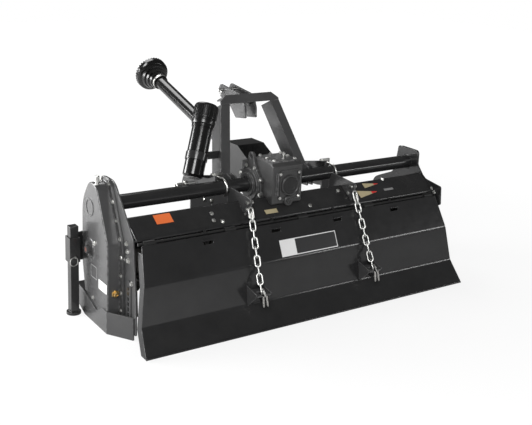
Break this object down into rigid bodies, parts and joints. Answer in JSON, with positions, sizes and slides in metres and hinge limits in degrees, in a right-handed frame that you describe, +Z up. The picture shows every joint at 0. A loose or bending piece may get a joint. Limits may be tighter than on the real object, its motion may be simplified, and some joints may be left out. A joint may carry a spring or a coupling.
{
  "type": "rotary tiller",
  "caption": "Tractor-mounted rotary tiller: bent hood over a tined rotor, side chain case, gearbox on a cross tube, A-frame hitch, hinged rear door on chains and a telescoping driveline.",
  "frame": {"origin": "on the floor under the middle of the whole parked tiller's bounding box", "axes": "+X to the right seen from behind along the rotor, +Y forward towards the tractor, +Z up"},
  "size_m": [2.073, 1.9292, 1.0529],
  "materials": {
    "frame_paint": "satin",
    "case_paint": "satin",
    "cast_grey": "rough cast, painted grey",
    "zinc": "zinc plated",
    "bare_steel": "dull",
    "tine_steel": "dull black",
    "black_plastic": "satin"
  },
  "bodies": {
    "frame": {"top_tube": "frame_paint", "tube_end_flange": "frame_paint", "hood_shell": "frame_paint", "side_plate_left": "frame_paint", "side_plate_right": "frame_paint", "chain_case_cover": "case_paint", "chain_case_flange": "frame_paint", "rotor_bearings": "frame_paint", "skid_left": "frame_paint", "skid_right": "frame_paint", "gearbox_housing": "cast_grey", "gearbox_hub": "cast_grey", "gearbox_rear_cap": "cast_grey", "input_shaft": "bare_steel", "input_shield": "black_plastic", "hitch_arms": "frame_paint", "lower_hitch_pins": "zinc", "mast_legs": "frame_paint", "mast_rail": "frame_paint", "top_link_clevis": "frame_paint", "tube_clamps": "zinc", "hood_brackets": "frame_paint", "manual_canister": "black_plastic", "canister_cap": "black_plastic", "canister_bracket": "frame_paint", "stand_bracket": "frame_paint", "door_hinge": "frame_paint", "input_yoke": "frame_paint", "input_cross": "bare_steel"},
    "rotor": {"rotor_shaft": "frame_paint", "rotor_tines": "tine_steel"},
    "rear_door": {"door_panel": "frame_paint", "door_knuckles": "frame_paint", "door_lugs": "frame_paint", "door_end_ribs": "frame_paint"},
    "parking_stand": {"stand_leg": "frame_paint"},
    "chain_left": {"door_chain_left": "zinc"},
    "chain_right": {"door_chain_right": "zinc"},
    "driveline_inner": {"inner_yoke": "frame_paint", "inner_shaft": "bare_steel", "inner_guard": "black_plastic"},
    "driveline_outer": {"outer_guard": "black_plastic", "outer_bell": "black_plastic", "outer_yoke": "frame_paint"},
    "tractor_yoke": {"tractor_yoke": "frame_paint", "tractor_cross": "bare_steel"}
  },
  "joints": [
    {"name": "rotor_spin", "type": "hinge", "parent": "frame", "child": "rotor", "pos_m": [0.0515, -0.48961, 0.228], "axis": [1, 0, 0], "continuous": true},
    {"name": "door_lift", "type": "hinge", "parent": "frame", "child": "rear_door", "pos_m": [0.0515, -0.75261, 0.47], "axis": [-1, 0, 0], "range_deg": [0, 55]},
    {"name": "stand_slide", "type": "slide", "parent": "frame", "child": "parking_stand", "axis": [0, 0, 1], "range_m": [0, 0.15]},
    {"name": "chain_left_swing", "type": "hinge", "parent": "frame", "child": "chain_left", "pos_m": [0.0515, -0.73161, 0.582], "axis": [-1, 0, 0], "range_deg": [0, 55]},
    {"name": "chain_right_swing", "type": "hinge", "parent": "frame", "child": "chain_right", "pos_m": [0.0515, -0.73161, 0.582], "axis": [-1, 0, 0], "range_deg": [0, 55]},
    {"name": "driveline_fold", "type": "hinge", "parent": "frame", "child": "driveline_inner", "pos_m": [0.0315, -0.27161, 0.612], "axis": [1, 0, 0], "range_deg": [-25, 8]},
    {"name": "driveline_telescope", "type": "slide", "parent": "driveline_inner", "child": "driveline_outer", "axis": [0, 0.9613, 0.2756], "range_m": [-0.03, 0.12]},
    {"name": "tractor_yoke_fold", "type": "hinge", "parent": "driveline_outer", "child": "tractor_yoke", "pos_m": [0.0315, 0.86268, 0.93725], "axis": [1, 0, 0], "range_deg": [-25, 25]}
  ],
  "couplings": [
    {"joint": "chain_left_swing", "follows": "door_lift", "ratio": 1},
    {"joint": "chain_right_swing", "follows": "door_lift", "ratio": 1}
  ]
}
